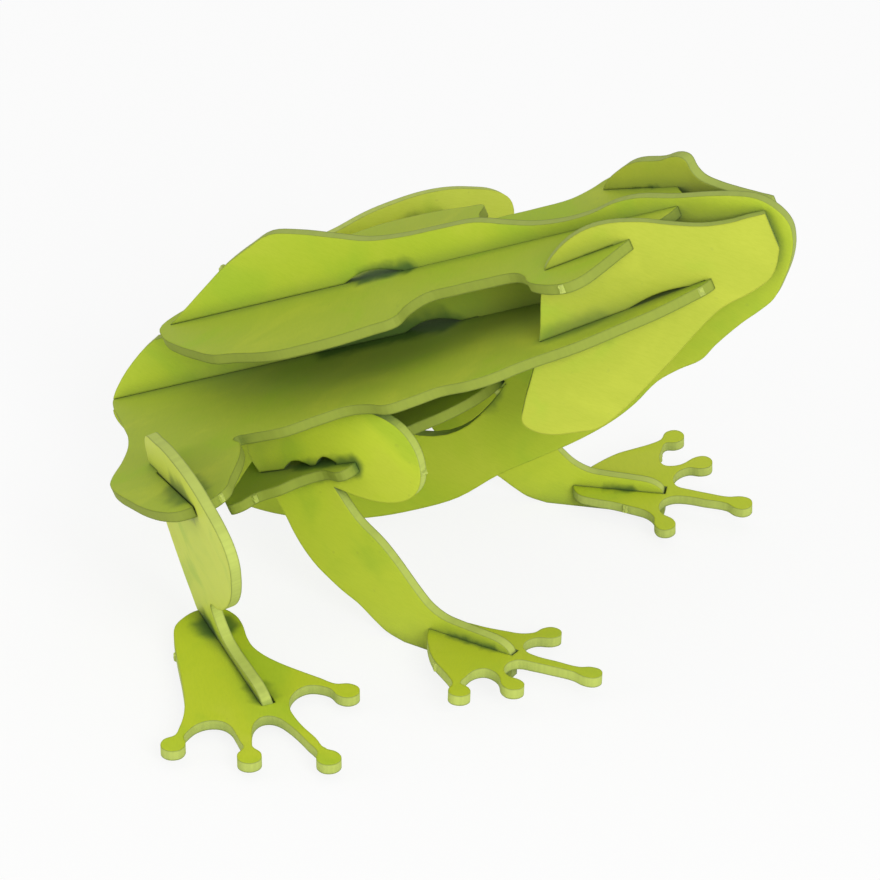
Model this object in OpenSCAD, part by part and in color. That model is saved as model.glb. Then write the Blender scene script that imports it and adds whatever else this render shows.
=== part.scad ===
// Slot-together paper frog.
// Flat plates of one board stand, lean and slope through each other. Each crossing is a pair of
// slots, one in each plate, that close on the same seat. All slots are worked out from the planes
// of the two plates, so a plate can be moved or turned and its slots follow.
// Frame: X forward, Y to the frog's left, Z up, the ground at Z = 0.

/* [Board] */
// Thickness of the board
board_t = 1.0; // [0.6:0.1:1.6]
// Play between two plates, on each face of a slot
slot_play = 0.05; // [0.02:0.01:0.15]

/* [Body profile] */
// Length of the upright profile, tail to nose
profile_len = 65.9; // [62:0.1:70]
// Height of the upright profile, belly to eyes
profile_high = 42.7; // [40:0.1:46]
// Length of the window in the flank
window_len = 16.0; // [12:0.5:17]
// Height of the window in the flank
window_high = 3.6; // [2:0.1:4]

/* [Decks] */
// Slope of the three decks, nose up
deck_pitch = 24.5; // [20:0.5:28]
// Height of the back deck over the origin
deck_high = 30.7; // [29:0.1:32]
// Spacing of the three decks, square to them
deck_gap = 6.0; // [5:0.1:7]
// Length of the back deck
back_len = 55.0; // [52:0.5:57]
// Width of the back deck
back_wide = 25.2; // [24:0.2:27]
// Length of the lower deck, which carries the hind legs
main_len = 65.6; // [63:0.2:68]
// Width of the lower deck over its two hind lobes
main_wide = 58.4; // [55:0.2:61]
// Length of the belly deck
belly_len = 23.6; // [22:0.2:26]
// Width of the belly deck
belly_wide = 33.0; // [31:0.2:35]

/* [Cheeks] */
// Distance of a cheek from the middle, at its station on the decks
cheek_out = 8.8; // [8.2:0.1:9.6]
// Station of the cheeks along the decks
cheek_at = 15.0; // [14:0.1:16]
// Angle by which the cheeks close towards the nose
cheek_toe = 21.0; // [18:0.5:24]
// Length of a cheek
cheek_len = 27.4; // [26:0.2:29]
// Height of the right cheek
cheek_high = 17.6; // [16:0.2:19]
// Length of the brow on the left cheek
brow_len = 19.9; // [19.3:0.2:20.7]
// Height of the brow on the left cheek
brow_high = 6.7; // [6.2:0.1:7.2]

/* [Front legs] */
// Distance of a front leg's ground point from the middle
foreleg_out = 14.3; // [13.5:0.1:15]
// Station of the right front leg's ground point
foreleg_at = 8.5; // [7.5:0.1:9.5]
// Distance that the left front leg stands ahead of the right one
foreleg_step = 3.7; // [0:0.1:4.5]
// Angle by which the front legs turn out
foreleg_toe = 10.0; // [6:0.5:14]
// Length of a front leg plate, shoulder to toe
foreleg_len = 28.0; // [26.5:0.5:29.5]
// Height of a front leg plate over the underside of the hind feet
foreleg_high = 22.1; // [21.3:0.1:22.8]
// Roll of the front feet, outer toes up
forefoot_roll = 5.3; // [3:0.1:6]
// Length of a front foot, from its heel to the middle of the longest toe's pad
forefoot_len = 16.1; // [15.2:0.1:17.2]
// Width of a front foot between the middles of its outer pads
forefoot_wide = 13.3; // [12.6:0.1:14.1]

/* [Hind legs] */
// Distance of a hind leg's ground point from the middle
hindleg_out = 24.0; // [23:0.1:25]
// Station of a hind leg's ground point, behind the origin
hindleg_back = 10.2; // [9:0.1:11]
// Angle by which the hind legs turn out
hindleg_toe = 46.0; // [43:0.5:49]
// Lean of the hind legs, tops outward
hindleg_lean = 11.5; // [8:0.5:14]
// Length of a hind leg plate
hindleg_len = 22.6; // [22:0.1:24]
// Height of a hind leg plate over its foot
hindleg_high = 21.2; // [20.5:0.1:22]
// Length of a hind foot, from its heel to the middle of the longest toe's pad
hindfoot_len = 20.8; // [20:0.1:22]
// Width of a hind foot, from its heel to the middle of the first toe's pad
hindfoot_wide = 21.0; // [20:0.1:22]

/* [Feet] */
// Diameter of the pads at the ends of a front foot's toes
forefoot_pad = 2.0; // [1.6:0.1:2.3]
// Diameter of the pads at the ends of a hind foot's toes
hindfoot_pad = 2.2; // [1.8:0.1:2.5]
// Distance by which the soles of the legs reach below the undersides of the feet
sole_drop = 1.0; // [0.4:0.1:1.6]

/* [Slots] */
// Seat of the back deck on the profile, along the deck
back_seat = -3.5; // [-6:0.5:0]
// Seat of the lower deck on the profile, along the deck
main_seat = 4.5; // [2:0.5:7]
// Front end of the belly deck's slot in the profile, along the deck
belly_seat = 7.0; // [6.5:0.1:8]
// Seat of a cheek on the back deck, along the cheek
cheek_seat_up = 8.6; // [7.4:0.2:10]
// Seat of a cheek on the lower deck, along the cheek
cheek_seat_low = 14.8; // [13:0.2:16]
// Seat of the front legs on the belly deck, along the deck
shoulder_seat = -3.4; // [-4:0.1:-2.8]
// Seat of a hind leg on its lobe, ahead of the leg's ground point
hip_seat = -4.5; // [-7:0.5:-1]
// Length of a relief at the closed end of a slot
relief_len = 6.5; // [4:0.5:8]
// Height of a relief at the closed end of a slot
relief_high = 0.7; // [0.3:0.1:1.2]

/* [Hidden] */
steps = 4;          // chords on each span of a smooth outline
far = 90;           // longer than any plate: an open slot runs out of the edge by this
lime = "#bccb3e";
leaf = "#a6b83a";
moss = "#8fa436";

// ---- Smooth outlines -------------------------------------------------------------------------

// The last or next point wraps round the closed outline
function pick(p, i) = p[(i + len(p)) % len(p)];
function unit(v) = norm(v) == 0 ? [0, 0] : v / norm(v);
function heading(p, i) = unit(unit(pick(p, i) - pick(p, i - 1)) + unit(pick(p, i + 1) - pick(p, i)));

// A closed outline that runs smoothly through its points. A point written twice is a sharp corner.
function smooth(p, n = steps) = [
    for (i = [0 : len(p) - 1])
    let (a = pick(p, i), b = pick(p, i + 1), l = norm(b - a))
    if (l > 0)
    for (k = [0 : n - 1])
    let (t = k / n)
    (2 * t ^ 3 - 3 * t ^ 2 + 1) * a + (t ^ 3 - 2 * t ^ 2 + t) * l * heading(p, i)
    + (3 * t ^ 2 - 2 * t ^ 3) * b + (t ^ 3 - t ^ 2) * l * heading(p, i + 1)
];

function span(v) = max(v) - min(v);

// Stretches an outline about its origin so that it measures l along x and w along y
function sized(p, l, w) =
    let (kx = l / span([for (q = p) q.x]), ky = w / span([for (q = p) q.y]))
    [for (q = p) [q.x * kx, q.y * ky]];

// The same for a leg: h is its height above the x axis, and what lies below stays as drawn
function sized_leg(p, l, h) =
    let (kx = l / span([for (q = p) q.x]), ky = h / max([for (q = p) q.y]))
    [for (q = p) [q.x * kx, q.y > 0 ? q.y * ky : q.y]];

// Both halves of an outline that is drawn from tail to nose on one side of the x axis
function both_sides(p) = concat(p, [for (i = [len(p) - 1 : -1 : 0]) if (p[i].y != 0) [p[i].x, -p[i].y]]);

// ---- Outlines ------------------------------------------------------------------------------------
// Each one is drawn in the plane of its plate. A deck is drawn as its left half, from tail to nose.

profile_line = [
    [-33, 9.2], [-32.5, 11], [-30, 15.3], [-28, 17.6], [-26, 20], [-23.5, 23.3], [-21, 26.5], [-18.5, 29],
    [-16.5, 30.7], [-14, 31.3], [-10, 31.7], [-7, 32], [-3.5, 33.1], [0, 34.6], [3.5, 36], [6.5, 36.4],
    [9, 36.8], [12, 37.8], [14.5, 39.1], [16.5, 40.5], [18.5, 41.4], [22, 42.1], [25, 42.9], [27.5, 43.4],
    [29.5, 43.5], [31.3, 42.8], [32.5, 41.6], [32.9, 40], [32.8, 38.2], [32.2, 36], [31.4, 34], [30.2, 32.6],
    [28.6, 31], [26.3, 28.3],
    [25, 26.5], [23, 25.1], [21, 23.4], [19, 20.7], [17, 18.5], [14, 15.9], [10, 13], [6, 10.2],
    [2, 6.8], [-2, 4.6], [-7, 2.5], [-11, 1.5], [-15.5, 0.8], [-19.5, 1], [-24, 2.2], [-28.5, 4.2],
    [-31.5, 6.3], [-32.8, 7.8]
];

back_half = [
    [-30.3, 0], [-28.7, 3], [-25.6, 5.9], [-22.4, 8.3], [-19.5, 10.2], [-17, 10.9], [-14, 12], [-11.5, 12.6],
    [-8.5, 12.6], [-5.5, 12.4], [-2, 11.7], [0.2, 11.1], [0.6, 9], [1.8, 7.2], [4.5, 7], [8, 7],
    [11, 7.3], [12.6, 8.6], [13.5, 10], [14.9, 11.1], [17, 12.1], [18.5, 12.2], [19.5, 11.5], [20.2, 10.2],
    [20.9, 8.4], [22, 5.6], [23.5, 3.4], [24.7, 1.2]
];

main_half = [
    [-36, 0], [-35, 2.3], [-33, 5], [-31, 7.7], [-29.2, 10.2], [-27.8, 12.9], [-26.9, 16], [-26.5, 18.6],
    [-25.9, 20.3], [-24.4, 22.1], [-21.7, 24.5], [-18.9, 26.8], [-16.2, 28.5], [-14.1, 29.2], [-12.3, 28.8],
    [-10.9, 27.8], [-10.4, 26.2], [-10.9, 24.2], [-11.4, 22], [-12.1, 19.6], [-13.3, 17.2], [-14.6, 15.7],
    [-13.2, 15.6], [-9.5, 15.8],
    [-6.2, 14.8], [-3.5, 14.2], [-0.9, 14.8], [1.4, 15.8], [3.7, 15.3], [6.2, 14.4], [9, 14.5],
    [11.3, 14.1], [14, 12.8], [19, 11.2], [22.8, 9.2], [25.5, 7.7], [28, 5.7], [29.3, 4.4], [29.6, 3.2], [28.8, 2], [27.8, 0.8]
];

belly_half = [
    [-17, 0], [-16.8, 6], [-16.2, 12], [-15.2, 16.5], [-14, 16.3], [-12.9, 15.1], [-10.6, 14.5], [-9.2, 13.7], [-6.6, 13.2],
    [-4.1, 14.3], [-3.2, 13.4], [-3, 11.5], [-2.2, 9.3], [0, 7.6], [3.5, 5.6], [5.8, 3.2], [6.6, 1]
];

// x runs forward from the cheek's station on the lower deck, y is square to the decks
cheek_line = [
    [-4.9, -6], [-4.2, -4.6], [-2.1, -1.7], [-0.4, 1], [1.2, 4.6], [2.2, 6.4], [3.5, 7.5], [5.9, 8.5], [8.2, 8.6],
    [11.5, 7.6], [14, 6.3], [16.4, 5.2], [18.8, 4.6], [20.8, 4.4], [22.5, 3.9], [22.5, 2.5], [21.8, 0.8], [20.3, -1.3],
    [18.2, -2], [15.3, -2.4], [13, -3.4], [10.2, -4.9], [7.3, -6.4], [4, -8], [1.2, -8.9], [-0.6, -8.6],
    [-3.6, -7.6]
];

// The brow runs level from the cheek's top and ends in the eye knob, over the front slope
brow_line = [
    [3, 6], [3.8, 7.2], [5, 8.2], [6.4, 8.8], [7.9, 9.1], [10.8, 9.1], [13.1, 9.4], [14, 9], [14.2, 7.9],
    [14.7, 7.1], [16, 6.4], [18, 5.7], [20.4, 5], [22.2, 4.4], [22.9, 3.5], [22.2, 2.9], [19, 2.7], [12, 3.2], [7, 4.8]
];

// Length of one front leg's outline is measured from the middle of its foot's seat
foreleg_line = [
    [-23.3, 14.3], [-22.8, 15.5], [-20.5, 17.4], [-17.5, 19.6], [-14.5, 21.2], [-11.6, 22], [-9, 22.1], [-7, 21.4],
    [-5.6, 20], [-4.9, 18.2], [-4.9, 16.3], [-5.7, 14.8], [-7.6, 13.6], [-10.5, 13], [-14, 13.2], [-14, 13.2],
    [-11.6, 10.4], [-9.2, 8.7], [-7.7, 7.3], [-6.5, 6], [-5.3, 4.7], [-4.1, 3.6], [-2.6, 2.9], [-0.6, 2.7],
    [1.6, 2.6], [3.4, 2.4], [4.4, 1.8], [4.7, 0.8], [4.7, -sole_drop], [4.7, -sole_drop],
    [-6.6, -sole_drop], [-6.6, -sole_drop], [-8.5, -0.5], [-9.8, 0.3], [-11.5, 1.5], [-13.2, 2.3], [-14.7, 3.2], [-16, 4.1],
    [-17.3, 5.4], [-18.4, 6.9], [-19.2, 8.3], [-20.3, 9.9], [-21.8, 11.8]
];

forefoot_line = [
    [-4, -1], [-3.7, 0.9], [-3, 2.6], [-1.6, 4.9], [-0.2, 6.3], [0.9, 7.4], [1.6, 8.4], [2.6, 9.3, 50], [2.2, 8], [2.2, 6.8], [2.5, 5.3],
    [3.2, 4.6], [4, 4.7], [4.8, 5.3], [6.5, 6.2, 35], [5.6, 5], [4.9, 4.2], [4.7, 3.3], [4.9, 2.4], [5.5, 1.8],
    [6.8, 1.7], [8.6, 1.7], [10.6, 1.8], [12.1, 1.3, 0], [10.8, 0.8], [8.6, 0.7], [6.8, 0.6], [5.6, 0.2], [4.9, -0.7],
    [4.9, -1.8], [5.5, -2.7], [6.3, -4.1, -50], [5, -3.5], [4, -2.8], [2.4, -2.6], [0.6, -2.5], [-1.2, -2.6], [-3, -2.4]
];

// The sole of a leaning hind leg stands on its lower corner
hind_sole = -(sole_drop + board_t - board_t / 2 * sin(hindleg_lean)) / cos(hindleg_lean);
hindleg_line = [
    [-12.1, 15.8], [-11.5, 17.5], [-10.2, 18.8], [-8, 19.5], [-5, 20.4], [-2.2, 20.9], [0.8, 21.2], [3.6, 21.1],
    [6.2, 20.6], [8.4, 19.9], [9.8, 18.8], [10.1, 17.2], [9.3, 15], [7.9, 12.6], [6.2, 10.5], [4, 8.4], [1.8, 6.7],
    [-0.2, 5.6], [-1.8, 5], [-2.6, 4.2], [-2.4, 2.6], [-1.4, 1.3], [0.6, 0.9], [4, 1.1], [7.2, 1.1], [8.1, 0.4],
    [8.1, hind_sole], [8.1, hind_sole], [-5.2, hind_sole], [-5.2, hind_sole], [-7.8, -1.2], [-8.9, -0.2],
    [-9.6, 1.3], [-10.4, 3], [-11.1, 4.9], [-11.7, 6.9], [-12.3, 9.5], [-12.5, 12.8]
];

hindfoot_line = [
    [-6.2, -5.5], [-6.9, -3.9], [-7, -2.3], [-6, 0], [-4.8, 2.1], [-2.7, 5.6], [-1.2, 8.4], [-0.5, 10.2],
    [-0.1, 12], [0, 13.1], [0.4, 14.4, 87], [0.8, 13], [0.8, 12.1], [1.1, 10.9], [1.9, 10], [3, 9.7], [4, 10.1],
    [4.9, 11], [5.6, 11.8], [6.3, 12.6], [7.3, 13.6, 62], [7, 12.2], [6.5, 11.2], [6, 10.1], [5.7, 8.9],
    [5.9, 7.9], [6.5, 7.4], [7.4, 7.4], [8.5, 7.9], [9.9, 8.8], [11.2, 9.8], [12.5, 10.8], [13.8, 11.3, 35],
    [12.9, 10.1], [11.6, 9], [10, 7.9], [8.7, 6.8], [7.8, 5.8], [7.3, 4.8], [7.1, 3.7], [7.3, 2.6], [7.9, 1.8],
    [8.8, 1.5], [9.9, 1.6], [11.4, 1.3, 5], [10, 0.7], [8.4, 0.4], [6.2, 0], [4, -0.5], [2.3, -1.1], [0.8, -2],
    [-0.3, -3.2], [-1.4, -4.8], [-2.6, -6], [-4.3, -6.6]
];

// ---- Planes of the plates ----------------------------------------------------------------------

// A plane is [origin, x direction, y direction, normal]; a plate lies half its board on each side
function plane(p, roll, pitch, yaw) = [
    p,
    [cos(yaw) * cos(pitch), sin(yaw) * cos(pitch), -sin(pitch)],
    [cos(yaw) * sin(pitch) * sin(roll) - sin(yaw) * cos(roll),
     sin(yaw) * sin(pitch) * sin(roll) + cos(yaw) * cos(roll), cos(pitch) * sin(roll)],
    [cos(yaw) * sin(pitch) * cos(roll) + sin(yaw) * sin(roll),
     sin(yaw) * sin(pitch) * cos(roll) - cos(yaw) * sin(roll), cos(pitch) * cos(roll)]
];
function spin(f, v) = f[1] * v.x + f[2] * v.y + f[3] * v.z;
// Plane g, given in the directions of plane f
function within(f, g) = [f[0] + spin(f, g[0]), spin(f, g[1]), spin(f, g[2]), spin(f, g[3])];
// A point in space, in the two directions of plane f
function flat(f, p) = [(p - f[0]) * f[1], (p - f[0]) * f[2]];

// A crossing of two planes is [seat, forward direction, cosine of their angle]. The seat lies at
// distance `at` forward of the point on the line that is nearest to the first plane's origin.
function crossing(f, g, at) =
    let (c = cross(f[3], g[3]), d = c / norm(c) * sign(c.x), e = cross(d, f[3]))
    [f[0] + e * (((g[0] - f[0]) * g[3]) / (e * g[3])) + d * at, d, abs(f[3] * g[3])];

// Width of a slot that takes a board crossing at that angle
function slot_w(x) = board_t * (1 + x[2]) / sqrt(1 - x[2] ^ 2) + 2 * slot_play;

p_profile = plane([0, 0, sole_drop], 90, 0, 0);
// Deck number n under the back deck: stations along each deck start over the origin
function p_deck(n) = plane([0, 0, sole_drop + deck_high - n * deck_gap / cos(deck_pitch)], 0, -deck_pitch, 0);
p_back = p_deck(0);
p_main = p_deck(1);
p_belly = p_deck(2);
// The planes of the paired plates are those of the left side
p_cheek = within(p_main, plane([cheek_at, cheek_out, 0], 90, 0, -cheek_toe));
foreleg_dir = [cos(foreleg_toe), sin(foreleg_toe), 0];
function p_foreleg(ahead) = plane([foreleg_at, foreleg_out, sole_drop] + ahead * foreleg_dir, 90, 0, foreleg_toe);
// A front foot is rolled, with the edge nearest the middle level with the undersides of the hind feet
forefoot_in = -min([for (q = foot(forefoot_line, forefoot_len, forefoot_wide, forefoot_pad)) q.y]);
forefoot_up = forefoot_in * sin(forefoot_roll) + board_t / 2 * cos(forefoot_roll);
function p_forefoot(ahead) = within([p_foreleg(ahead)[0], [1, 0, 0], [0, 1, 0], [0, 0, 1]],
    plane([0, 0, forefoot_up], forefoot_roll, 0, 0));
p_hindleg = plane([-hindleg_back, hindleg_out, sole_drop + board_t], 90 - hindleg_lean, 0, hindleg_toe);
p_hindfoot = plane([-hindleg_back, hindleg_out, sole_drop + board_t / 2], 0, 0, 0);

// ---- Crossings ---------------------------------------------------------------------------------

x_back = crossing(p_back, p_profile, back_seat);
x_main = crossing(p_main, p_profile, main_seat);
x_belly = crossing(p_belly, p_profile, belly_seat);
x_cheek_up = crossing(p_cheek, p_back, cheek_seat_up);
x_cheek_low = crossing(p_cheek, p_main, cheek_seat_low);
x_shoulder = crossing(p_belly, p_foreleg(0), shoulder_seat);
function x_forefoot(ahead) = crossing(p_forefoot(ahead), p_foreleg(ahead), 0);
x_nose = crossing(p_cheek, p_profile, 0);
x_hip = crossing(p_hindleg, p_main, hip_seat);
x_hindfoot = crossing(p_hindfoot, p_hindleg, 0);

// Draws its children in the frame of a plane
module seat_on(f)
    multmatrix([for (i = [0 : 2]) [f[1][i], f[2][i], f[3][i], f[0][i]]]) children();

// A flat plate of board in the plane f
module plate(f)
    seat_on(f)
    translate([0, 0, -board_t / 2])
    linear_extrude(board_t)
    children();

// Draws its children in plate f, with the origin at the crossing's seat and x forward along it
module along(x, f) {
    d = flat(f, f[0] + x[1]);
    translate(flat(f, x[0]))
    rotate(atan2(d.y, d.x))
    children();
}

// A slot in plate f from `from` to `to`, measured forward along the crossing from its seat
module slot(x, f, from, to)
    along(x, f)
    translate([from - slot_play, -slot_w(x) / 2])
    square([to - from + 2 * slot_play, slot_w(x)]);

// A shallow bulge beside a slot: side 1 is above or left of it, side -1 below or right
module relief(x, f, from, l = relief_len, h = relief_high, side = 1)
    along(x, f)
    polygon([for (i = [0 : 12]) [from + l * i / 12, side * (slot_w(x) / 2 - 0.1 + (h + 0.1) * sin(15 * i))]]);

// ---- Plates ------------------------------------------------------------------------------------

module profile() {
    color(leaf)
    plate(p_profile)
    difference() {
        polygon(smooth(sized(profile_line, profile_len, profile_high)));
        slot(x_back, p_profile, -far, 0);
        slot(x_main, p_profile, -far, 0);
        slot(x_belly, p_profile, -belly_len, 0);
        relief(x_back, p_profile, -relief_len);
        relief(x_main, p_profile, -relief_len - 1.5);
        // The window under the belly deck is a half lens with its tip at the front
        relief(x_belly, p_profile, -window_len, window_len, window_high, -1);
    }
}

module back_deck() {
    color(moss)
    plate(p_back)
    difference() {
        polygon(smooth(sized(both_sides(back_half), back_len, back_wide)));
        slot(x_back, p_back, 0, far);
        for (m = [0, 1]) mirror([0, m]) slot(x_cheek_up, p_back, 0, far);
    }
}

module main_deck() {
    color(moss)
    plate(p_main)
    difference() {
        polygon(smooth(sized(both_sides(main_half), main_len, main_wide)));
        slot(x_main, p_main, 0, far);
        for (m = [0, 1])
        mirror([0, m]) {
            slot(x_cheek_low, p_main, 0, far);
            slot(x_hip, p_main, 0, far);
        }
    }
}

module belly_deck() {
    color(moss)
    plate(p_belly)
    difference() {
        polygon(smooth(sized(both_sides(belly_half), belly_len, belly_wide)));
        for (m = [0, 1]) mirror([0, m]) slot(x_shoulder, p_belly, 0, far);
    }
}

module cheek() {
    plate(p_cheek)
    difference() {
        union() {
            polygon(smooth(sized(cheek_line, cheek_len, cheek_high)));
            children();
        }
        slot(x_cheek_up, p_cheek, -far, 0);
        slot(x_cheek_low, p_cheek, -far, 0);
        relief(x_cheek_low, p_cheek, -relief_len - 1, relief_len, relief_high / 2);
        // The front edge stops at the face of the profile
        along(x_nose, p_cheek) translate([-far, -slot_w(x_nose) / 2]) square(2 * far);
    }
}

module foreleg(ahead) {
    f = p_foreleg(ahead);
    x = x_shoulder;
    roof = crossing(f, p_main, 0);
    color(lime)
    plate(f)
    difference() {
        polygon(smooth(sized_leg(foreleg_line, foreleg_len, foreleg_high)));
        slot(x, f, -far, 0);
        relief(x, f, -2.4, 2.6);
        relief(x, f, -6.2, 3.4);
        // The shoulder stops under the lower deck
        along(roof, f) translate([-far, -slot_w(roof) / 2]) square(2 * far);
    }
}

// An outline point of a foot with a third value is the pad of a toe that points that way
function foot(p, l, w, pad) =
    let (k = [l / span([for (q = p) q.x]), w / span([for (q = p) q.y])])
    smooth([for (q = p) each let (c = [q.x * k.x, q.y * k.y])
        len(q) == 2 ? [c] : [for (a = [110 : -55 : -110]) c + pad / 2 * [cos(q[2] + a), sin(q[2] + a)]]]);

module forefoot(ahead) {
    f = p_forefoot(ahead);
    x = x_forefoot(ahead);
    color(lime)
    plate(f)
    difference() {
        polygon(foot(forefoot_line, forefoot_len, forefoot_wide, forefoot_pad));
        slot(x, f, -far, foreleg_len * 0.17);
    }
}

module hindleg() {
    color(lime)
    plate(p_hindleg)
    difference() {
        polygon(smooth(sized_leg(hindleg_line, hindleg_len, hindleg_high)));
        slot(x_hip, p_hindleg, -far, 0);
    }
}

module hindfoot() {
    color(leaf)
    plate(p_hindfoot)
    difference() {
        polygon(foot(hindfoot_line, hindfoot_len, hindfoot_wide, hindfoot_pad));
        slot(x_hindfoot, p_hindfoot, -far, hindleg_len * 0.358);
    }
}

module right() mirror([0, 1, 0]) children();

profile();
back_deck();
main_deck();
belly_deck();
color(lime) right() cheek();  // cheek_right
color(lime) cheek() polygon(smooth(sized(brow_line, brow_len, brow_high)));  // cheek_left
right() foreleg(0);  // foreleg_right
foreleg(foreleg_step);  // foreleg_left
right() forefoot(0);  // forefoot_right
forefoot(foreleg_step);  // forefoot_left
right() hindleg();  // hindleg_right
hindleg();  // hindleg_left
right() hindfoot();  // hindfoot_right
hindfoot();  // hindfoot_left
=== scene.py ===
"""Slot-together paper frog: finishes of the cut plates, break-off nubs and studio stage.

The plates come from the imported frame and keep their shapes. Each one gets a dyed-board
material made for its own plane, so that its two faces and its cut rim are told apart.
"""
from math import radians

import bmesh
import bpy
from bpy.props import FloatProperty, FloatVectorProperty, PointerProperty
from mathutils import Matrix, Vector


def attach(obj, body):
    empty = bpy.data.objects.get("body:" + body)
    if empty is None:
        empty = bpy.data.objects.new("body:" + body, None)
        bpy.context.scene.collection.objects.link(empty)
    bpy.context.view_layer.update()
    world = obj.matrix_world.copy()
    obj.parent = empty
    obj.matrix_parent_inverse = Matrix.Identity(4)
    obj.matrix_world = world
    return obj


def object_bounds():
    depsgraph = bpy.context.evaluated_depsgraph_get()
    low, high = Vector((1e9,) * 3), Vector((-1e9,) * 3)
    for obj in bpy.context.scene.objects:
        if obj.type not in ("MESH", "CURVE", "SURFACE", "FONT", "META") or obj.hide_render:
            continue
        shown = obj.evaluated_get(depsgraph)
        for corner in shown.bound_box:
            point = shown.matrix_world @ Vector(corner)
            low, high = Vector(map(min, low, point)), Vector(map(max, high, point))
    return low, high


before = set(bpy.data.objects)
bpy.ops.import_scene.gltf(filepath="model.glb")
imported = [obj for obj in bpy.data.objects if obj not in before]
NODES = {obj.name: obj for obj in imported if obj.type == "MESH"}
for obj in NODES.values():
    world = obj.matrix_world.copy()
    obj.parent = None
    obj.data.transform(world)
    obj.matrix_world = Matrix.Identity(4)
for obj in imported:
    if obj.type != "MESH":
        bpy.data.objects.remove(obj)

bl_info = {
    "name": "Slot-Together Paper Frog",
    "version": (1, 0, 0),
    "blender": (4, 5, 0),
    "location": "View3D > Sidebar > Paper Frog",
    "description": "Finishes the plates of a slot-together paper frog and sets its studio stage",
    "category": "Object",
}

CAD_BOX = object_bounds()
MM = 0.001

# The fibres of a plate run square to this direction, which no plate is square to
FIBRE_REFERENCE = Vector((0.31, 0.17, 0.94))
# How far the pattern is shifted from one plate to the next, in metres
PATTERN_SHIFT = Vector((0.0137, 0.0071, 0.0043))
# The fibre pattern is scaled by this along the fibres, which draws them out
FIBRE_STRETCH = 0.16
# How far the outline of the painted slot shade wanders
RAGGED = 0.6 * MM
# How deep a nub's base sinks into the rim, its share of the board's thickness, how its top
# tapers, the unevenness of its torn crest and the bevel of its edges
NUB_ROOT = 0.1 * MM
NUB_THICK = 0.85
NUB_TAPER = (0.6, 0.85, 1.0)
NUB_TORN = 0.04 * MM
NUB_EDGE = 0.04 * MM
# Where the two lamps stand, as seen from the middle of the frog
KEY_WAY = (0.62, -0.62, 0.5)
FILL_WAY = (-0.8, -0.6, 0.35)
LAMP_DISTANCE = 0.6
LAMP_SIZE = 0.3
FLOOR_SIZE = 3.0
# Share of white that the floor shows to the eye, so that it keeps the frog's shadow
FLOOR_WHITE = 0.85
CAMERA_PLACE = (126.28 * MM, -320.5 * MM, 224.4 * MM)
CAMERA_PITCH = 31.5
CAMERA_TURN = 21.5

# Plates that share a finish
PROFILE = ("profile",)
DECKS = ("back_deck", "main_deck", "belly_deck")
CHEEKS = ("cheek_right", "cheek_left")
FORELEGS = ("foreleg_right", "foreleg_left")
HINDLEGS = ("hindleg_right", "hindleg_left")
FEET = ("forefoot_right", "forefoot_left", "hindfoot_right", "hindfoot_left")


def both_sides(one, other, place, *rest):
    """A row for the right side, and its mirror image on the left"""
    x, y, z = place
    left = [name.replace("_right", "_left") for name in (one, other)]
    return (one, other, place, *rest), (*left, (x, -y, z), *rest)


# Painted shade where two plates cross in a slot: two plates, a place on their crossing, how far the
# dark bloom reaches along the crossing and away from it (all in millimetres), and how dark it is
SHADED_SLOTS = (
    ("profile", "back_deck", (-5, 0, 30), 2.6, 1.7, 0.85),
    ("profile", "main_deck", (-4.5, 0, 23), 6.5, 2.5, 0.8),
    ("profile", "belly_deck", (0.5, 0, 18.7), 4.5, 2.6, 0.95),
    *both_sides("cheek_right", "main_deck", (16, -8, 32.5), 2.6, 1.7, 0.35),
    *both_sides("cheek_right", "back_deck", (18, -7, 40), 1.6, 0.8, 0.7),
    *both_sides("foreleg_right", "belly_deck", (-6, -12.5, 15.8), 3.4, 1.3, 0.75),
    *both_sides("hindleg_right", "main_deck", (-14.5, -25.5, 19), 2.2, 2.1, 0.6),
    ("foreleg_right", "forefoot_right", (9, -14.5, 2.5), 2.4, 1.2, 0.85),
    ("foreleg_left", "forefoot_left", (12.5, 14.5, 2.5), 1.4, 1.1, 0.85),
    *both_sides("hindleg_right", "hindfoot_right", (-14.7, -21, 2), 0.9, 2.3, 0.85),
    *both_sides("hindleg_right", "hindfoot_right", (-6.5, -29, 2), 1.2, 1.5, 0.5),
)


# ---- Sizes and colours -----------------------------------------------------------------------

def colour(name, description, default):
    return FloatVectorProperty(name=name, description=description, default=default,
                               subtype="COLOR", size=3, min=0.0, max=1.0)


def length(name, description, default):
    return FloatProperty(name=name, description=description, default=default * MM,
                         subtype="DISTANCE", unit="LENGTH", min=0.0)


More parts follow.
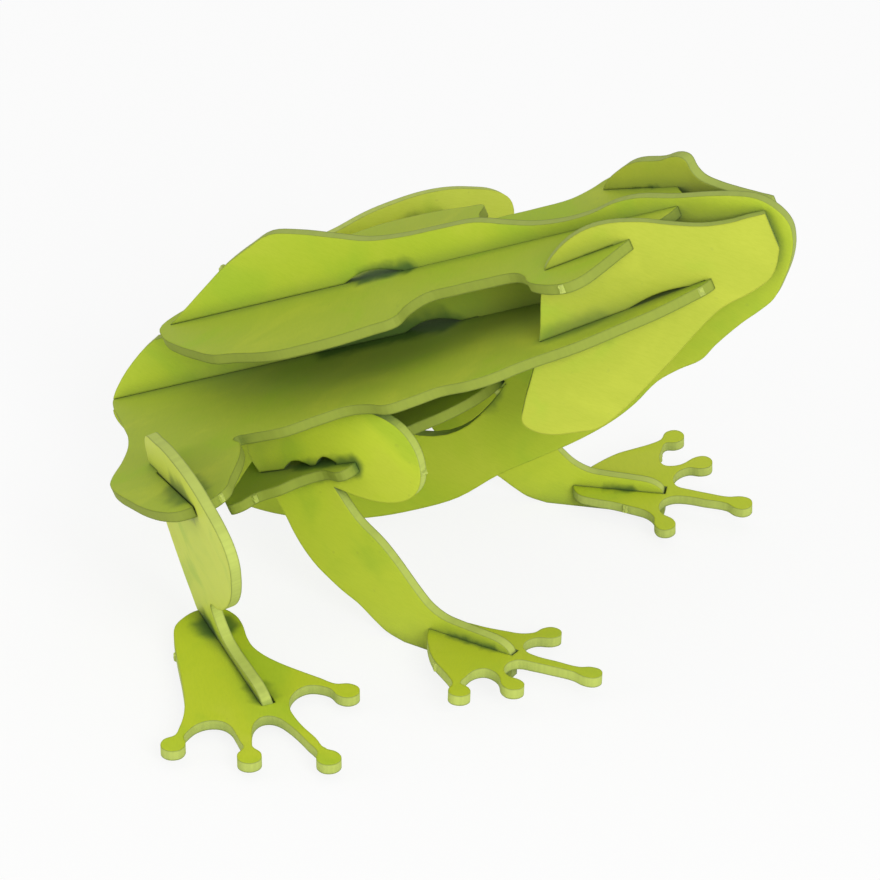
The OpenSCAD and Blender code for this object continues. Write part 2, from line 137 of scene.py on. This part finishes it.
class BoardSettings(bpy.types.PropertyGroup):
    """Colours and grain of the dyed board"""
    # One green board: the plate colours below are its dye made lighter or darker for how the lamps
    # fall on each plate, which is painted light and shade; the paler hind-leg colour is a painted
    # sheen
    lime: colour("Lime", "Dye on the upright profile", (0.48, 0.59, 0.036))
    olive: colour("Olive", "Dye on the sloping decks", (0.42, 0.52, 0.05))
    cheek: colour("Cheek", "Dye on the cheeks", (0.47, 0.53, 0.045))
    foreleg: colour("Front leg", "Dye on the front legs", (0.57, 0.67, 0.045))
    hindleg: colour("Hind leg", "Paler dye on the hind legs", (0.63, 0.71, 0.075))
    foot: colour("Foot", "Dye on the feet", (0.53, 0.62, 0.03))
    yellow: colour("Yellow cast", "Tone of the paler patches", (0.58, 0.63, 0.06))
    green: colour("Green cast", "Tone of the deeper patches", (0.36, 0.54, 0.03))
    rim: colour("Rim", "Core of the board at a cut edge", (0.51, 0.60, 0.12))
    # Painted shade: the rim colour made darker for the shade on the profile and cheek rims
    shaded_body_rim: colour("Body rim", "Core at the cut edges of the profile and cheeks",
                     (0.37, 0.45, 0.085))
    # Painted shade: the rim colour made darker still for the shade on the deck rims
    shaded_deck_rim: colour("Deck rim", "Darker core at the cut edges of the decks", (0.30, 0.365, 0.055))
    scorch: colour("Scorch", "Thin line at each border of a cut edge", (0.20, 0.26, 0.05))
    # Painted shade for the slots and close seats
    slot_shade: colour("Smoke", "Dark bloom in the slots", (0.045, 0.115, 0.025))
    # Painted shade for the deep hollows between the plates
    shade: colour("Shade", "Duller tone in the deep hollows", (0.17, 0.23, 0.10))
    patch_size: length("Patch size", "Size of the soft patches of tone", 9.0)
    fibre_size: length("Fibre size", "Width of the fibres in the faces", 0.12)
    # Reach of the painted shade in the slots and close seats
    slot_shade_reach: length("Smoke reach", "How far smoke spreads from a close seat", 3.0)
    shade_reach: length("Shade reach", "How near another plate makes a hollow", 8.0)
    soft_edge: length("Soft edge", "Radius at which light rounds the cut corners", 0.28)
    roughness: FloatProperty(name="Roughness", description="Roughness of the faces",
                             default=0.58, min=0.0, max=1.0, subtype="FACTOR")


class NubSettings(bpy.types.PropertyGroup):
    """Break-off nubs left where a plate was held in its sheet"""
    wide: length("Width", "Width of a nub along the rim", 0.6)
    proud: length("Height", "Distance that a nub stands out of the rim", 0.22)
    torn: colour("Torn core", "Colour of the torn core of the board", (0.44, 0.51, 0.13))


class StageSettings(bpy.types.PropertyGroup):
    """Floor, lamps and camera"""
    floor: colour("Floor", "Colour of the floor", (0.9, 0.9, 0.9))
    key_power: FloatProperty(name="Key", description="Power of the key lamp",
                             default=1.8, min=0.0, unit="POWER")
    fill_power: FloatProperty(name="Fill", description="Power of the fill lamp",
                              default=0.47, min=0.0, unit="POWER")
    sky: FloatProperty(name="Sky", description="Strength of the white surroundings",
                       default=0.64, min=0.0)


# ---- Shader helpers --------------------------------------------------------------------------

class Shader:
    """Adds nodes to one material or world and links them"""

    def __init__(self, owner):
        owner.use_nodes = True
        self.tree = owner.node_tree
        self.tree.nodes.clear()

    def add(self, kind, values=None, **settings):
        node = self.tree.nodes.new(kind)
        for key, value in settings.items():
            setattr(node, key, value)
        for key, value in (values or {}).items():
            if isinstance(value, bpy.types.NodeSocket):
                self.tree.links.new(value, node.inputs[key])
            else:
                node.inputs[key].default_value = value
        return node

    def math(self, operation, a, b=0.0, c=0.0, clamp=False):
        node = self.add("ShaderNodeMath", {0: a, 1: b, 2: c},
                        operation=operation, use_clamp=clamp)
        return node.outputs[0]

    def ramp(self, value, low, high, out_low=0.0, out_high=1.0):
        node = self.add("ShaderNodeMapRange",
                        {0: value, 1: low, 2: high, 3: out_low, 4: out_high},
                        interpolation_type="SMOOTHSTEP")
        return node.outputs[0]

    def mix(self, factor, a, b, blend="MIX"):
        node = self.add("ShaderNodeMix", data_type="RGBA", blend_type=blend)
        for key, value in ((0, factor), (6, a), (7, b)):
            if isinstance(value, bpy.types.NodeSocket):
                self.tree.links.new(value, node.inputs[key])
            elif key == 0:
                node.inputs[key].default_value = value
            else:
                node.inputs[key].default_value = (*value[:3], 1.0)
        return node.outputs[2]

    def dot(self, a, b):
        node = self.add("ShaderNodeVectorMath", {0: a, 1: b}, operation="DOT_PRODUCT")
        return node.outputs["Value"]

    def closeness(self, reach):
        """1 in the open, down to 0 where other plates close in within that reach"""
        node = self.add("ShaderNodeAmbientOcclusion", {"Distance": reach}, samples=4)
        return node.outputs["AO"]

    def noise(self, vector, scale, detail=2.0, rough=0.5, warp=0.0):
        node = self.add("ShaderNodeTexNoise", {"Vector": vector, "Scale": scale, "Detail": detail,
                                               "Roughness": rough, "Distortion": warp})
        return node.outputs["Fac"]


def plate_plane(node):
    """Normal of a flat plate, from its largest triangle, then its middle and half thickness"""
    mesh = node.data
    face = max(mesh.polygons, key=lambda p: p.area)
    normal = face.normal.copy()
    spread = [v.co.dot(normal) for v in mesh.vertices]
    return normal, (min(spread) + max(spread)) / 2, (max(spread) - min(spread)) / 2


def crossing(one, other, near):
    """Point nearest to `near` on the line where two plates' planes cross, and its direction"""
    (n1, m1, _), (n2, m2, _) = plate_plane(NODES[one]), plate_plane(NODES[other])
    way = n1.cross(n2).normalized()
    rows = Matrix((n1, n2, way))
    return rows.inverted() @ Vector((m1, m2, way.dot(Vector(near) * MM))), way


def slot_shade_bloom(s, at, ragged, slot):
    """Darkness of the painted shade at one slot: 0 outside the bloom"""
    one, other, near, along, aside, dark = slot
    middle, way = crossing(one, other, near)
    gone = s.add("ShaderNodeVectorMath", {0: at, 1: middle}, operation="SUBTRACT")
    gone = gone.outputs[0]
    run = s.dot(gone, way)
    off = s.math("SQRT", s.math("SUBTRACT", s.dot(gone, gone), s.math("MULTIPLY", run, run)))
    past = s.math("MAXIMUM", s.math("SUBTRACT", s.math("ABSOLUTE", run), along * MM), 0.0)
    far = s.math("ADD", s.math("ADD", off, past), ragged)
    return s.ramp(far, 0.45 * aside * MM, 1.25 * aside * MM, dark, 0.0)


def dyed_board(name, node, dye_and_plate_shade, rim, gloss_level, seed):
    """Matte dyed board, for the plane of one plate"""
    board = bpy.context.scene.frog_board
    normal, middle, half = plate_plane(node)
    material = bpy.data.materials.new(name)
    s = Shader(material)
    place = s.add("ShaderNodeTexCoord")
    at = place.outputs["Object"]
    # Directions in the plate: the fibres run along the first
    grain = normal.cross(FIBRE_REFERENCE).normalized()
    across = normal.cross(grain)

    # 1 on the two faces, 0 on the cut rim
    facing = s.dot(place.outputs["Normal"], normal)
    on_face = s.ramp(s.math("ABSOLUTE", facing), 0.55, 0.8)
    # 0 in the middle of the board's thickness, 1 at its faces
    depth = s.math("ABSOLUTE", s.math("SUBTRACT", s.dot(at, normal), middle))
    depth = s.math("DIVIDE", depth, half)

    # Soft patches of tone, then fibres, then a few flecks
    moved = s.add("ShaderNodeMapping", {"Vector": at, "Location": seed * PATTERN_SHIFT})
    moved = moved.outputs["Vector"]
    patch = s.noise(moved, 1 / board.patch_size, 3.0, 0.55, 0.6)
    # The start colour is the plate's dye with that plate's painted light and shade in it
    tone = s.mix(s.ramp(patch, 0.5, 0.72, 0.0, 0.42), dye_and_plate_shade, board.yellow)
    tone = s.mix(s.ramp(patch, 0.5, 0.3, 0.0, 0.5), tone, board.green)
    fibre_at = s.add("ShaderNodeCombineXYZ",
                     {0: s.math("MULTIPLY", s.dot(at, grain), FIBRE_STRETCH),
                      1: s.dot(at, across), 2: seed * 0.01}).outputs[0]
    fibre = s.noise(fibre_at, 1 / board.fibre_size, 3.0, 0.6, 0.3)
    tone = s.mix(s.ramp(fibre, 0.35, 0.7, 0.0, 0.2), tone, board.scorch, "SOFT_LIGHT")
    fleck = s.noise(moved, 0.16 / board.fibre_size, 1.0, 0.4)
    tone = s.mix(s.ramp(fleck, 0.74, 0.8, 0.0, 0.12), tone, board.scorch)

    # The rim shows the board's pale core between two thin darker lines, streaked across
    streak = s.noise(fibre_at, 0.35 / board.fibre_size, 2.0, 0.6)
    core = s.mix(s.ramp(streak, 0.35, 0.7, 0.0, 0.14), rim, board.scorch)
    core = s.mix(s.ramp(depth, 0.72, 1.0, 0.0, 0.55), core, board.scorch)
    tone = s.mix(on_face, core, tone)
    # Painted shade lies in the slots and close seats, where other plates close in
    close = s.closeness(board.slot_shade_reach)
    tone = s.mix(s.ramp(close, 0.8, 0.25, 0.0, 0.7), tone, board.slot_shade)
    # Painted shade: the deep hollows between the plates are made duller and darker
    hollow = s.closeness(board.shade_reach)
    tone = s.mix(s.ramp(hollow, 0.52, 0.15, 0.0, 0.55), tone, board.shade)
    # Ragged blooms of painted shade at the ends of the slots
    ragged = s.math("MULTIPLY_ADD", s.noise(moved, 0.7 / MM, 2.0), 2 * RAGGED, -RAGGED)
    for slot in SHADED_SLOTS:
        if node.name in slot[:2]:
            tone = s.mix(slot_shade_bloom(s, at, ragged, slot), tone, board.slot_shade)

    pulp = s.noise(moved, 0.5 / board.fibre_size, 2.0, 0.55)
    height = s.math("MULTIPLY_ADD", fibre, 0.6, s.math("MULTIPLY", pulp, 0.4))
    soft = s.add("ShaderNodeBevel", {"Radius": board.soft_edge}, samples=4)
    relief = s.add("ShaderNodeBump", {"Strength": 0.35, "Distance": 0.02 * MM,
                                      "Height": height, "Normal": soft.outputs[0]})
    # The fibres vary the gloss, and the rim is duller than the faces
    gloss = s.ramp(fibre, 0.3, 0.75, board.roughness + 0.06, board.roughness - 0.05)
    dull = s.math("MULTIPLY", s.math("SUBTRACT", 1.0, on_face), 0.15)
    gloss = s.math("ADD", gloss, dull, clamp=True)
    skin = s.add("ShaderNodeBsdfPrincipled", {"Base Color": tone, "Roughness": gloss,
                                              "Normal": relief.outputs[0],
                                              "Specular IOR Level": gloss_level, "IOR": 1.45})
    s.add("ShaderNodeOutputMaterial", {"Surface": skin.outputs[0]})
    return material


def finish_plates(names, dye_and_plate_shade, rim, gloss_level=0.35):
    """Gives each named plate its own board material"""
    for name in names:
        node = NODES.get(name)
        if node is None:
            raise RuntimeError("The frame has no plate named " + name)
        seed = 1 + sorted(NODES).index(name)
        material = dyed_board("board_" + name, node, dye_and_plate_shade, rim, gloss_level, seed)
        if node.data.materials:
            for i in range(len(node.data.materials)):
                node.data.materials[i] = material
        else:
            node.data.materials.append(material)


# ---- Nubs ------------------------------------------------------------------------------------

# Plate, and a place at its rim in millimetres
NUBS = (
    ("profile", (-21.5, 0, 26.9)),
    ("back_deck", (15.8, -12.2, 39.1)), ("back_deck", (15.8, 12.2, 39.1)),
    ("main_deck", (-9.9, -27.4, 21.1)), ("main_deck", (26.1, -5.1, 37.1)),
    ("main_deck", (-9.9, 27.4, 21.1)),
    ("belly_deck", (-11.9, -15.2, 13.3)), ("belly_deck", (-11.9, 15.2, 13.3)),
    ("foreleg_right", (3.7, -13.9, 18.5)), ("foreleg_left", (7.3, 13.9, 18.5)),
    ("forefoot_right", (7.5, -19.8, 2.1)),
    ("forefoot_left", (14, 12.5, 1.4)), ("forefoot_left", (14, 21, 2.5)),
    ("hindfoot_right", (-15.4, -25.4, 1.5)), ("hindfoot_left", (-15.4, 25.4, 1.5)),
    ("hindfoot_right", (2.5, -34, 1.5)),
)


def deselect():
    """Leaves nothing selected, in object mode"""
    if bpy.context.object and bpy.context.object.mode != "OBJECT":
        bpy.ops.object.mode_set(mode="OBJECT")
    bpy.ops.object.select_all(action="DESELECT")


def torn_board(name):
    """Pale torn fibres of the board's core"""
    nubs = bpy.context.scene.frog_nubs
    board = bpy.context.scene.frog_board
    material = bpy.data.materials.new(name)
    s = Shader(material)
    at = s.add("ShaderNodeTexCoord").outputs["Object"]
    torn = s.noise(at, 3.5 / MM, 3.0, 0.7)
    tone = s.mix(s.ramp(torn, 0.35, 0.65, 0.0, 0.8), nubs.torn, board.rim)
    relief = s.add("ShaderNodeBump", {"Strength": 0.6, "Distance": 0.05 * MM, "Height": torn})
    skin = s.add("ShaderNodeBsdfPrincipled", {"Base Color": tone, "Roughness": 0.8,
                                              "Normal": relief.outputs[0],
                                              "Specular IOR Level": 0.2})
    s.add("ShaderNodeOutputMaterial", {"Surface": skin.outputs[0]})
    return material


def break_off_nub(name, plate, near, material, turn):
    """One torn nub on a plate's rim, at the place of the rim that is nearest"""
    nubs = bpy.context.scene.frog_nubs
    node = NODES[plate]
    normal, middle, half = plate_plane(node)
    near = Vector(near) * MM
    rim = min((face for face in node.data.polygons if abs(face.normal.dot(normal)) < 0.3),
              key=lambda face: (face.center - near).length)
    out = (rim.normal - normal * rim.normal.dot(normal)).normalized()
    place = rim.center - normal * (rim.center.dot(normal) - middle)
    along = normal.cross(out)
    deselect()
    bpy.ops.mesh.primitive_cube_add(size=1.0)
    nub = bpy.context.object
    nub.name = name
    # The base sinks into the rim and the top tapers to a torn crest
    nub.scale = (nubs.wide, 2 * NUB_THICK * half, nubs.proud + NUB_ROOT)
    bpy.ops.object.transform_apply(scale=True)
    bpy.ops.object.mode_set(mode="EDIT")
    shape = bmesh.from_edit_mesh(nub.data)
    for face in shape.faces:
        face.select_set(face.normal.z > 0.9)
    bmesh.update_edit_mesh(nub.data)
    bpy.ops.transform.resize(value=NUB_TAPER)
    bpy.ops.mesh.subdivide(number_cuts=3)
    shape = bmesh.from_edit_mesh(nub.data)
    for i, vertex in enumerate(v for v in shape.verts if v.select):
        vertex.co.z += NUB_TORN * (((i * 7 + turn * 3) % 5) - 2.5)
    bmesh.update_edit_mesh(nub.data)
    bpy.ops.mesh.select_all(action="SELECT")
    bpy.ops.mesh.normals_make_consistent(inside=False)
    bpy.ops.object.mode_set(mode="OBJECT")
    edge = nub.modifiers.new("edge", "BEVEL")
    edge.width, edge.segments, edge.limit_method = NUB_EDGE, 1, "ANGLE"
    bpy.ops.object.modifier_apply(modifier=edge.name)
    turned = Matrix((along, normal, out)).transposed().to_4x4()
    if turned.determinant() < 0:
        turned = Matrix((-along, normal, out)).transposed().to_4x4()
    nub.matrix_world = Matrix.Translation(place + out * (nubs.proud - NUB_ROOT) / 2) @ turned
    bpy.ops.object.transform_apply(location=True, rotation=True, scale=True)
    nub.data.materials.append(material)
    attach(nub, "root")
    return nub


# ---- Operators -------------------------------------------------------------------------------

class FROG_OT_profile(bpy.types.Operator):
    """Finish the upright profile"""
    bl_idname = "frog.profile"
    bl_label = "Profile"

    def execute(self, context):
        board = context.scene.frog_board
        finish_plates(PROFILE, board.lime, board.shaded_body_rim)
        return {"FINISHED"}


class FROG_OT_decks(bpy.types.Operator):
    """Finish the three sloping decks"""
    bl_idname = "frog.decks"
    bl_label = "Decks"

    def execute(self, context):
        board = context.scene.frog_board
        finish_plates(DECKS, board.olive, board.shaded_deck_rim, gloss_level=0.12)
        return {"FINISHED"}


class FROG_OT_cheeks(bpy.types.Operator):
    """Finish the two cheeks"""
    bl_idname = "frog.cheeks"
    bl_label = "Cheeks"

    def execute(self, context):
        board = context.scene.frog_board
        finish_plates(CHEEKS, board.cheek, board.shaded_body_rim)
        return {"FINISHED"}


class FROG_OT_legs(bpy.types.Operator):
    """Finish the four legs"""
    bl_idname = "frog.legs"
    bl_label = "Legs"

    def execute(self, context):
        board = context.scene.frog_board
        finish_plates(FORELEGS, board.foreleg, board.rim)
        finish_plates(HINDLEGS, board.hindleg, board.rim)
        return {"FINISHED"}


class FROG_OT_feet(bpy.types.Operator):
    """Finish the four feet"""
    bl_idname = "frog.feet"
    bl_label = "Feet"

    def execute(self, context):
        board = context.scene.frog_board
        finish_plates(FEET, board.foot, board.rim)
        return {"FINISHED"}


class FROG_OT_nubs(bpy.types.Operator):
    """Add the nubs where the plates were broken out of their sheet"""
    bl_idname = "frog.nubs"
    bl_label = "Break-Off Nubs"

    def execute(self, context):
        material = torn_board("torn_board")
        for i, (plate, near) in enumerate(NUBS):
            break_off_nub("nub_%02d" % (i + 1), plate, near, material, i)
        return {"FINISHED"}


class FROG_OT_stage(bpy.types.Operator):
    """Set the floor, the lamps, the white surroundings and the camera"""
    bl_idname = "frog.stage"
    bl_label = "Stage"

    def execute(self, context):
        settings = context.scene.frog_stage
        scene = context.scene
        deselect()
        # Floor
        bpy.ops.mesh.primitive_plane_add(size=FLOOR_SIZE, location=(0, 0, 0))
        floor = context.object
        floor.name = "floor"
        material = bpy.data.materials.new("floor_paper")
        s = Shader(material)
        matte = s.add("ShaderNodeBsdfDiffuse", {"Color": (*settings.floor, 1.0)})
        white = s.add("ShaderNodeEmission", {"Color": (1, 1, 1, 1), "Strength": 1.0})
        rays = s.add("ShaderNodeLightPath")
        seen = s.math("MAXIMUM", rays.outputs["Is Glossy Ray"], rays.outputs["Is Transmission Ray"])
        seen = s.math("MAXIMUM", rays.outputs["Is Camera Ray"], seen)
        seen = s.math("MULTIPLY", seen, FLOOR_WHITE)
        both = s.add("ShaderNodeMixShader", {0: seen, 1: matte.outputs[0], 2: white.outputs[0]})
        s.add("ShaderNodeOutputMaterial", {"Surface": both.outputs[0]})
        floor.data.materials.append(material)
        # White surroundings
        world = bpy.data.worlds.new("studio")
        scene.world = world
        s = Shader(world)
        rays = s.add("ShaderNodeLightPath")
        seen = s.math("MAXIMUM", rays.outputs["Is Camera Ray"], rays.outputs["Is Transmission Ray"])
        level = s.math("MULTIPLY_ADD", seen, 1.0 - settings.sky, settings.sky)
        sky = s.add("ShaderNodeBackground", {"Color": (1, 1, 1, 1), "Strength": level})
        s.add("ShaderNodeOutputWorld", {"Surface": sky.outputs[0]})
        # Lamps aim at the middle of the frog
        low, high = CAD_BOX
        centre = (low + high) / 2
        for name, way, power in (("key", KEY_WAY, settings.key_power),
                                 ("fill", FILL_WAY, settings.fill_power)):
            way = Vector(way).normalized()
            bpy.ops.object.light_add(type="AREA", location=centre + way * LAMP_DISTANCE)
            lamp = context.object
            lamp.name = name
            lamp.data.shape = "DISK"
            lamp.data.size = LAMP_SIZE
            lamp.data.energy = power
            lamp.rotation_euler = way.to_track_quat("Z", "Y").to_euler()
        # Camera
        bpy.ops.object.camera_add(location=CAMERA_PLACE)
        camera = context.object
        camera.name = "camera"
        camera.data.lens = 180.0
        camera.data.sensor_width = 36.0
        camera.data.clip_start = 0.01
        camera.data.clip_end = 20.0
        camera.rotation_euler = (radians(90 - CAMERA_PITCH), 0, radians(CAMERA_TURN))
        scene.camera = camera
        scene.view_settings.view_transform = "Standard"
        return {"FINISHED"}


class FROG_PT_panel(bpy.types.Panel):
    """Steps of the paper frog, in order"""
    bl_label = "Paper Frog"
    bl_idname = "FROG_PT_panel"
    bl_space_type = "VIEW_3D"
    bl_region_type = "UI"
    bl_category = "Paper Frog"

    def draw(self, context):
        layout = self.layout
        for step in STEPS:
            layout.operator(step.bl_idname)
        for group in (context.scene.frog_board, context.scene.frog_nubs, context.scene.frog_stage):
            box = layout.box()
            for key in group.__annotations__:
                box.prop(group, key)


STEPS = (FROG_OT_profile, FROG_OT_decks, FROG_OT_cheeks, FROG_OT_legs, FROG_OT_feet,
         FROG_OT_nubs, FROG_OT_stage)
GROUPS = (("frog_board", BoardSettings), ("frog_nubs", NubSettings), ("frog_stage", StageSettings))


def register():
    for key, group in GROUPS:
        bpy.utils.register_class(group)
        setattr(bpy.types.Scene, key, PointerProperty(type=group))
    for cls in (*STEPS, FROG_PT_panel):
        bpy.utils.register_class(cls)


def unregister():
    for cls in (FROG_PT_panel, *reversed(STEPS)):
        bpy.utils.unregister_class(cls)
    for key, group in reversed(GROUPS):
        delattr(bpy.types.Scene, key)
        bpy.utils.unregister_class(group)


def main():
    register()
    bpy.ops.frog.profile()
    bpy.ops.frog.decks()
    bpy.ops.frog.cheeks()
    bpy.ops.frog.legs()
    bpy.ops.frog.feet()
    bpy.ops.frog.nubs()
    bpy.ops.frog.stage()


if __name__ == "__main__":
    main()
